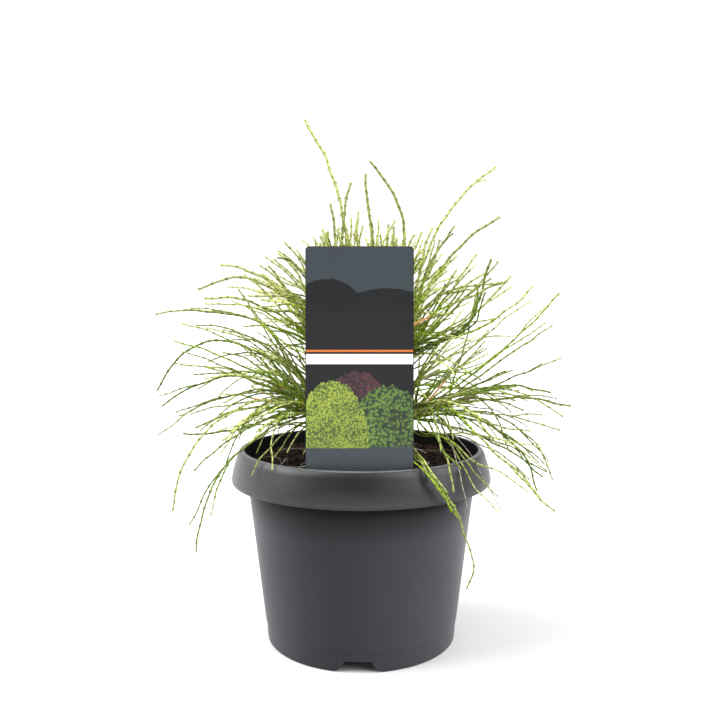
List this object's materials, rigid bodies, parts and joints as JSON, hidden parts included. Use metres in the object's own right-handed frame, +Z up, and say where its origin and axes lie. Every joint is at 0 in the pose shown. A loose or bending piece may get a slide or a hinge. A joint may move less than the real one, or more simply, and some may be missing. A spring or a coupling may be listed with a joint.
{
  "type": "potted oriental arborvitae",
  "caption": "A young thread-leaf oriental arborvitae with long yellow-green whips in a round dark grey nursery pot with a plain plant label.",
  "frame": {"origin": "centre of the pot's foot, on the ground", "axes": "+Z up, -Y the side the label faces, +X to the right as the label is looked at"},
  "size_m": [0.3445, 0.2806, 0.4296],
  "materials": {
    "pot": "satin",
    "soil": "matte",
    "label": "gloss",
    "bark": "matte",
    "foliage": "satin"
  },
  "bodies": {
    "root": {"pot": "pot", "soil": "soil", "label": "label", "trunk": "bark", "bough_low_0": "bark", "bough_low_1": "bark", "bough_low_2": "bark", "bough_low_3": "bark", "bough_low_4": "bark", "bough_low_5": "bark", "bough_low_6": "bark", "bough_low_7": "bark", "bough_mid_0": "bark", "bough_mid_1": "bark", "bough_mid_2": "bark", "bough_mid_3": "bark", "bough_mid_4": "bark", "bough_mid_5": "bark", "bough_top_0": "bark", "bough_top_1": "bark", "bough_top_2": "bark", "foliage_low_0": "foliage", "foliage_low_1": "foliage", "foliage_low_2": "foliage", "foliage_low_3": "foliage", "foliage_low_4": "foliage", "foliage_low_5": "foliage", "foliage_low_6": "foliage", "foliage_low_7": "foliage", "foliage_mid_0": "foliage", "foliage_mid_1": "foliage", "foliage_mid_2": "foliage", "foliage_mid_3": "foliage", "foliage_mid_4": "foliage", "foliage_mid_5": "foliage", "foliage_top_0": "foliage", "foliage_top_1": "foliage", "foliage_top_2": "foliage"}
  },
  "joints": []
}
